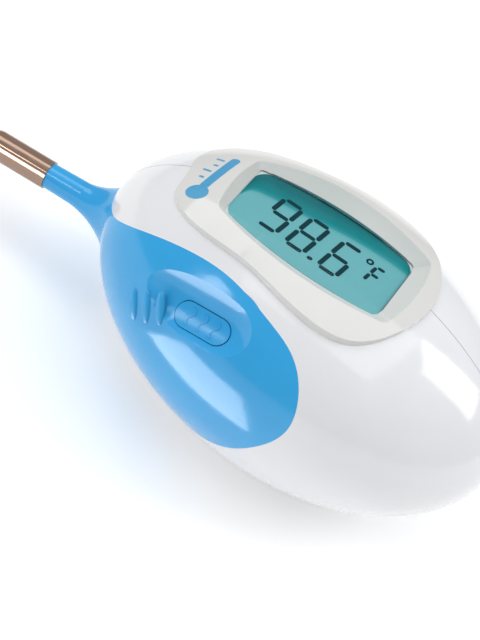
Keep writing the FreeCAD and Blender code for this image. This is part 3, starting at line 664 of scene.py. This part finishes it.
def neck_root(name, material):
    # Skin that fills the corner between the neck and the egg, fuller on its lower side.
    bm = bmesh.new()
    profiles = [root_profile(math.tau * column / ROOT_COLUMNS) for column in range(ROOT_COLUMNS)]
    rings = [[bm.verts.new(spot) for spot in profile] for profile in profiles]
    for a in range(ROOT_COLUMNS):
        b = (a + 1) % ROOT_COLUMNS
        for row in range(len(rings[a])):
            after = (row + 1) % len(rings[a])
            bm.faces.new((rings[a][row], rings[b][row], rings[b][after], rings[a][after]))
    for face in bm.faces:
        face.smooth = True
    made = add_piece(name, bm, material)
    made.data.set_sharp_from_angle(angle=math.radians(40))
    return made


root = neck_root("neck_root", MATERIALS["grip_blue"])
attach(root, "case")


# Floor ------------------------------------------------------------------------------------------

FLOOR_REACH = 3.0
floor_mesh = bpy.data.meshes.new("floor")
floor_corners = [(-FLOOR_REACH, -FLOOR_REACH, 0), (FLOOR_REACH, -FLOOR_REACH, 0),
                 (FLOOR_REACH, FLOOR_REACH, 0), (-FLOOR_REACH, FLOOR_REACH, 0)]
floor_mesh.from_pydata(floor_corners, [], [(0, 1, 2, 3)])
floor = bpy.data.objects.new("floor", floor_mesh)
scene.collection.objects.link(floor)
floor.data.materials.append(plastic("floor_white", "ffffff", "fdfdfd", (0.75, 0.8), grain=300.0, depth=1e-6,
                                    flow=3.0, Emission_Color=(1, 1, 1, 1), Emission_Strength=0.2))


# Light ------------------------------------------------------------------------------------------

world = bpy.data.worlds.new("studio")
world.use_nodes = True
world.node_tree.nodes["Background"].inputs["Color"].default_value = (1.0, 1.0, 1.0, 1)
world.node_tree.nodes["Background"].inputs["Strength"].default_value = 0.34
scene.world = world

FOCUS = Vector(((cad_low.x + cad_high.x) / 2, 0, 0.024))
PROBE_MIDDLE = Vector((-0.040, 0, 0.014))
CARD_AWAY = Vector((-0.12, -1.0, 0.22)).normalized()
CARD_DISTANCE = 0.08
PANEL_AT = Vector((-0.007, -0.056, 0.0015))
PANEL_TURN = math.radians(-101.5)


def area_lamp(name, width, height, watts):
    lamp = bpy.data.lights.new(name, "AREA")
    lamp.shape = "RECTANGLE"
    lamp.size, lamp.size_y, lamp.energy = width, height, watts
    made = bpy.data.objects.new(name, lamp)
    scene.collection.objects.link(made)
    return made


def aim(made, target, away, distance):
    # Puts a lamp at a distance from its target, facing it.
    made.location = target + away * distance
    made.rotation_mode = "QUATERNION"
    made.rotation_quaternion = away.to_track_quat("Z", "Y")


def softbox(name, azimuth, elevation, distance, width, height, watts):
    # Rectangular lamp aimed at the object. Azimuth 0 stands at -Y and 90 at +X.
    a, e = math.radians(azimuth), math.radians(elevation)
    away = Vector((math.sin(a) * math.cos(e), -math.cos(a) * math.cos(e), math.sin(e)))
    aim(area_lamp(name, width, height, watts), FOCUS, away, distance)


def reflector(name, width, height, watts, node_name):
    # Lamp that shows only as a reflection in one CAD node.
    made = area_lamp(name, width, height, watts)
    made.visible_camera = False
    made.visible_diffuse = False
    made.visible_transmission = False
    receivers = bpy.data.collections.new(name + "_receivers")
    receivers.objects.link(nodes_of[node_name])
    made.light_linking.receiver_collection = receivers
    return made


softbox("key_right_back", 118, 40, 0.6, 0.22, 0.34, 0.9)
softbox("front_left", -42, 36, 0.6, 0.10, 0.16, 0.3)
softbox("overhead", 0, 88, 0.9, 0.9, 0.9, 3.9)
softbox("left_fill", -105, 48, 0.8, 0.4, 0.4, 1.0)
low_panel = reflector("low_panel", 0.047, 0.034, 0.023, "grip_moulding")
low_panel.matrix_world = (Matrix.Translation(PANEL_AT) @ Matrix.Rotation(PANEL_TURN, 4, "Z")
                          @ Matrix.Rotation(math.pi, 4, "X"))
probe_card = reflector("probe_card", 0.060, 0.034, 0.050, "probe_tip")
aim(probe_card, PROBE_MIDDLE, CARD_AWAY, CARD_DISTANCE)


# Camera -----------------------------------------------------------------------------------------

CAMERA_AT = Vector((16.957, -214.592, 230.186)) * MM
AZIMUTH, ELEVATION, ROLL = (math.radians(angle) for angle in (3.95, 45.25, 34.82))
level_away = math.cos(ELEVATION)
back = Vector((math.sin(AZIMUTH) * level_away, -math.cos(AZIMUTH) * level_away, math.sin(ELEVATION)))
level = Vector((math.cos(AZIMUTH), math.sin(AZIMUTH), 0))
upright = back.cross(level)
right = math.cos(ROLL) * level + math.sin(ROLL) * upright
up = -math.sin(ROLL) * level + math.cos(ROLL) * upright
camera_data = bpy.data.cameras.new("camera")
camera_data.sensor_width = 36.0
camera_data.lens = 115.6
camera_data.clip_start = 0.01
camera = bpy.data.objects.new("camera", camera_data)
camera.matrix_world = Matrix.Translation(CAMERA_AT) @ Matrix((right, up, back)).transposed().to_4x4()
scene.collection.objects.link(camera)
scene.camera = camera
scene.view_settings.view_transform = "Standard"
